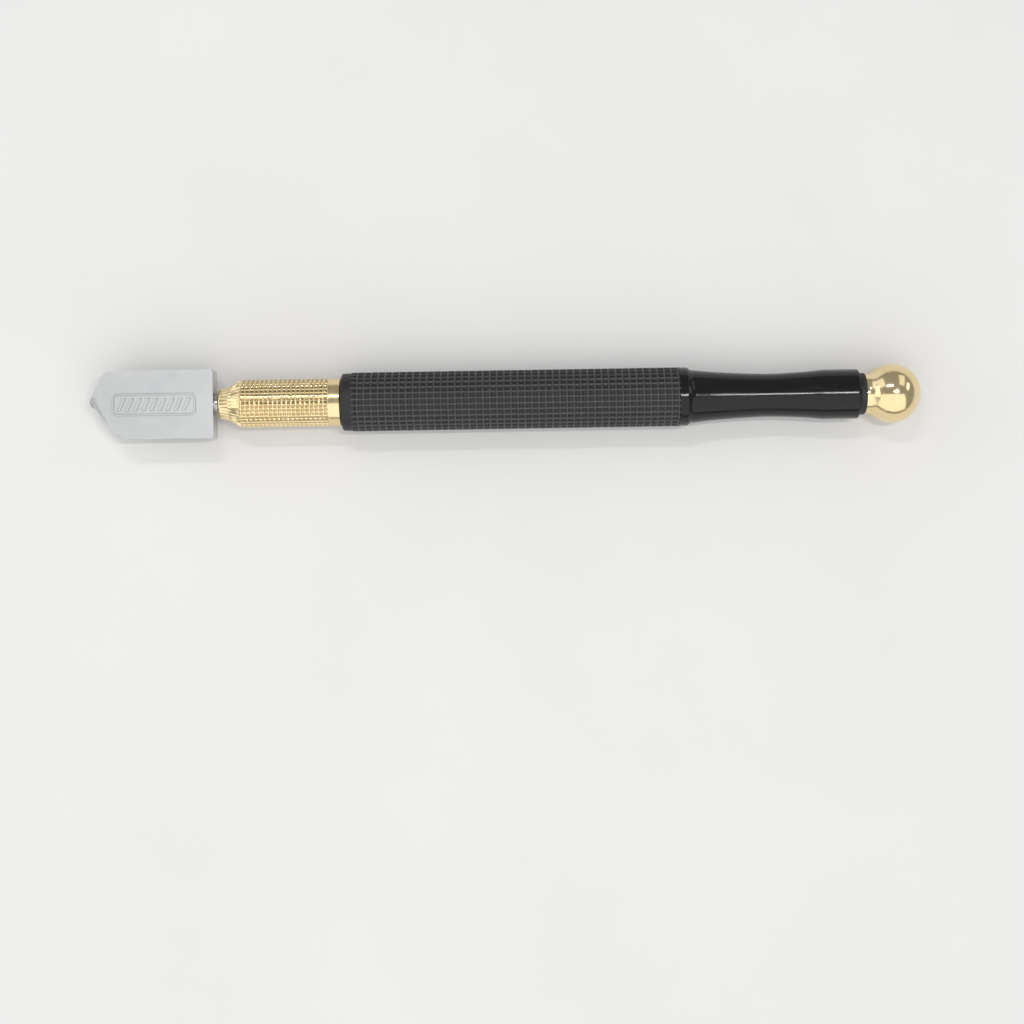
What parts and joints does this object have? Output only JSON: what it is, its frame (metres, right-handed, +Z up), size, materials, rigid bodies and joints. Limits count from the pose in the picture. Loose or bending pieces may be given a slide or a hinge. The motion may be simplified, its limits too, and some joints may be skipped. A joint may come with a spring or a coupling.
{
  "type": "oil-feed glass cutter",
  "caption": "Pencil-shaped oil-feed glass cutter: flat head with a carbide wheel, brass front barrel, textured black hollow handle and a ball-ended brass filler cap.",
  "frame": {"origin": "on the table, under the middle of the tool's box", "axes": "+X along the tool's axis from the wheel towards the ball cap, +Y across the flat head towards the steep side of its nose, +Z up, out of the head's face"},
  "size_m": [0.18, 0.0148, 0.0128],
  "materials": {
    "satin_zinc": "satin-plated zinc casting, fine matte grain",
    "steel": "turned steel",
    "carbide": "ground tungsten carbide",
    "inner_brass": "turned brass",
    "polished_brass": "polished brass",
    "black_rubber": "moulded rubber",
    "cotton": "twisted cotton",
    "black_plastic": "satin black plastic on the textured grip, glossier on the tail"
  },
  "bodies": {
    "handle": {"handle_body": "black_plastic", "front_barrel": "polished_brass", "barrel_o_ring": "black_rubber", "nose_o_ring": "black_rubber", "gland_bush": "inner_brass", "feed_spring": "steel", "spring_washer": "steel", "spring_retainer": "inner_brass"},
    "stem": {"stem_tube": "steel", "stem_collar": "inner_brass", "stem_seal_washer": "black_rubber", "oil_wick": "cotton"},
    "head": {"head_casting": "satin_zinc", "wheel_axle": "steel"},
    "wheel": {"cutting_wheel": "carbide"},
    "lock_screw": {"lock_screw": "steel"},
    "gasket": {"cap_gasket": "black_rubber"},
    "cap": {"ball_cap": "polished_brass", "cap_spigot_o_ring": "black_rubber"}
  },
  "joints": [
    {"name": "stem_plunge", "type": "slide", "parent": "handle", "child": "stem", "axis": [1, 0, 0], "range_m": [0, 0.0006], "stiffness_N_per_m": 1000, "springref_m": -0.0005, "deforming": ["feed_spring"]},
    {"name": "head_swivel", "type": "hinge", "parent": "stem", "child": "head", "pos_m": [-0.067, 0, 0.0064], "axis": [1, 0, 0], "continuous": true},
    {"name": "wheel_spin", "type": "hinge", "parent": "head", "child": "wheel", "pos_m": [-0.0884, 0.001, 0.0064], "axis": [0, 0, 1], "continuous": true},
    {"name": "lock_screw_turn", "type": "hinge", "parent": "head", "child": "lock_screw", "pos_m": [-0.0672, 0, 0.0042], "axis": [0, 0, -1], "range_deg": [0, 360]},
    {"name": "cap_travel", "type": "slide", "parent": "handle", "child": "gasket", "axis": [1, 0, 0], "range_m": [0, 0.007]},
    {"name": "cap_turn", "type": "hinge", "parent": "gasket", "child": "cap", "pos_m": [0.079, 0, 0.0064], "axis": [1, 0, 0], "range_deg": [0, 2520]}
  ],
  "couplings": [
    {"joint": "cap_travel", "follows": "cap_turn", "m_per_rad": 0.00015915}
  ]
}
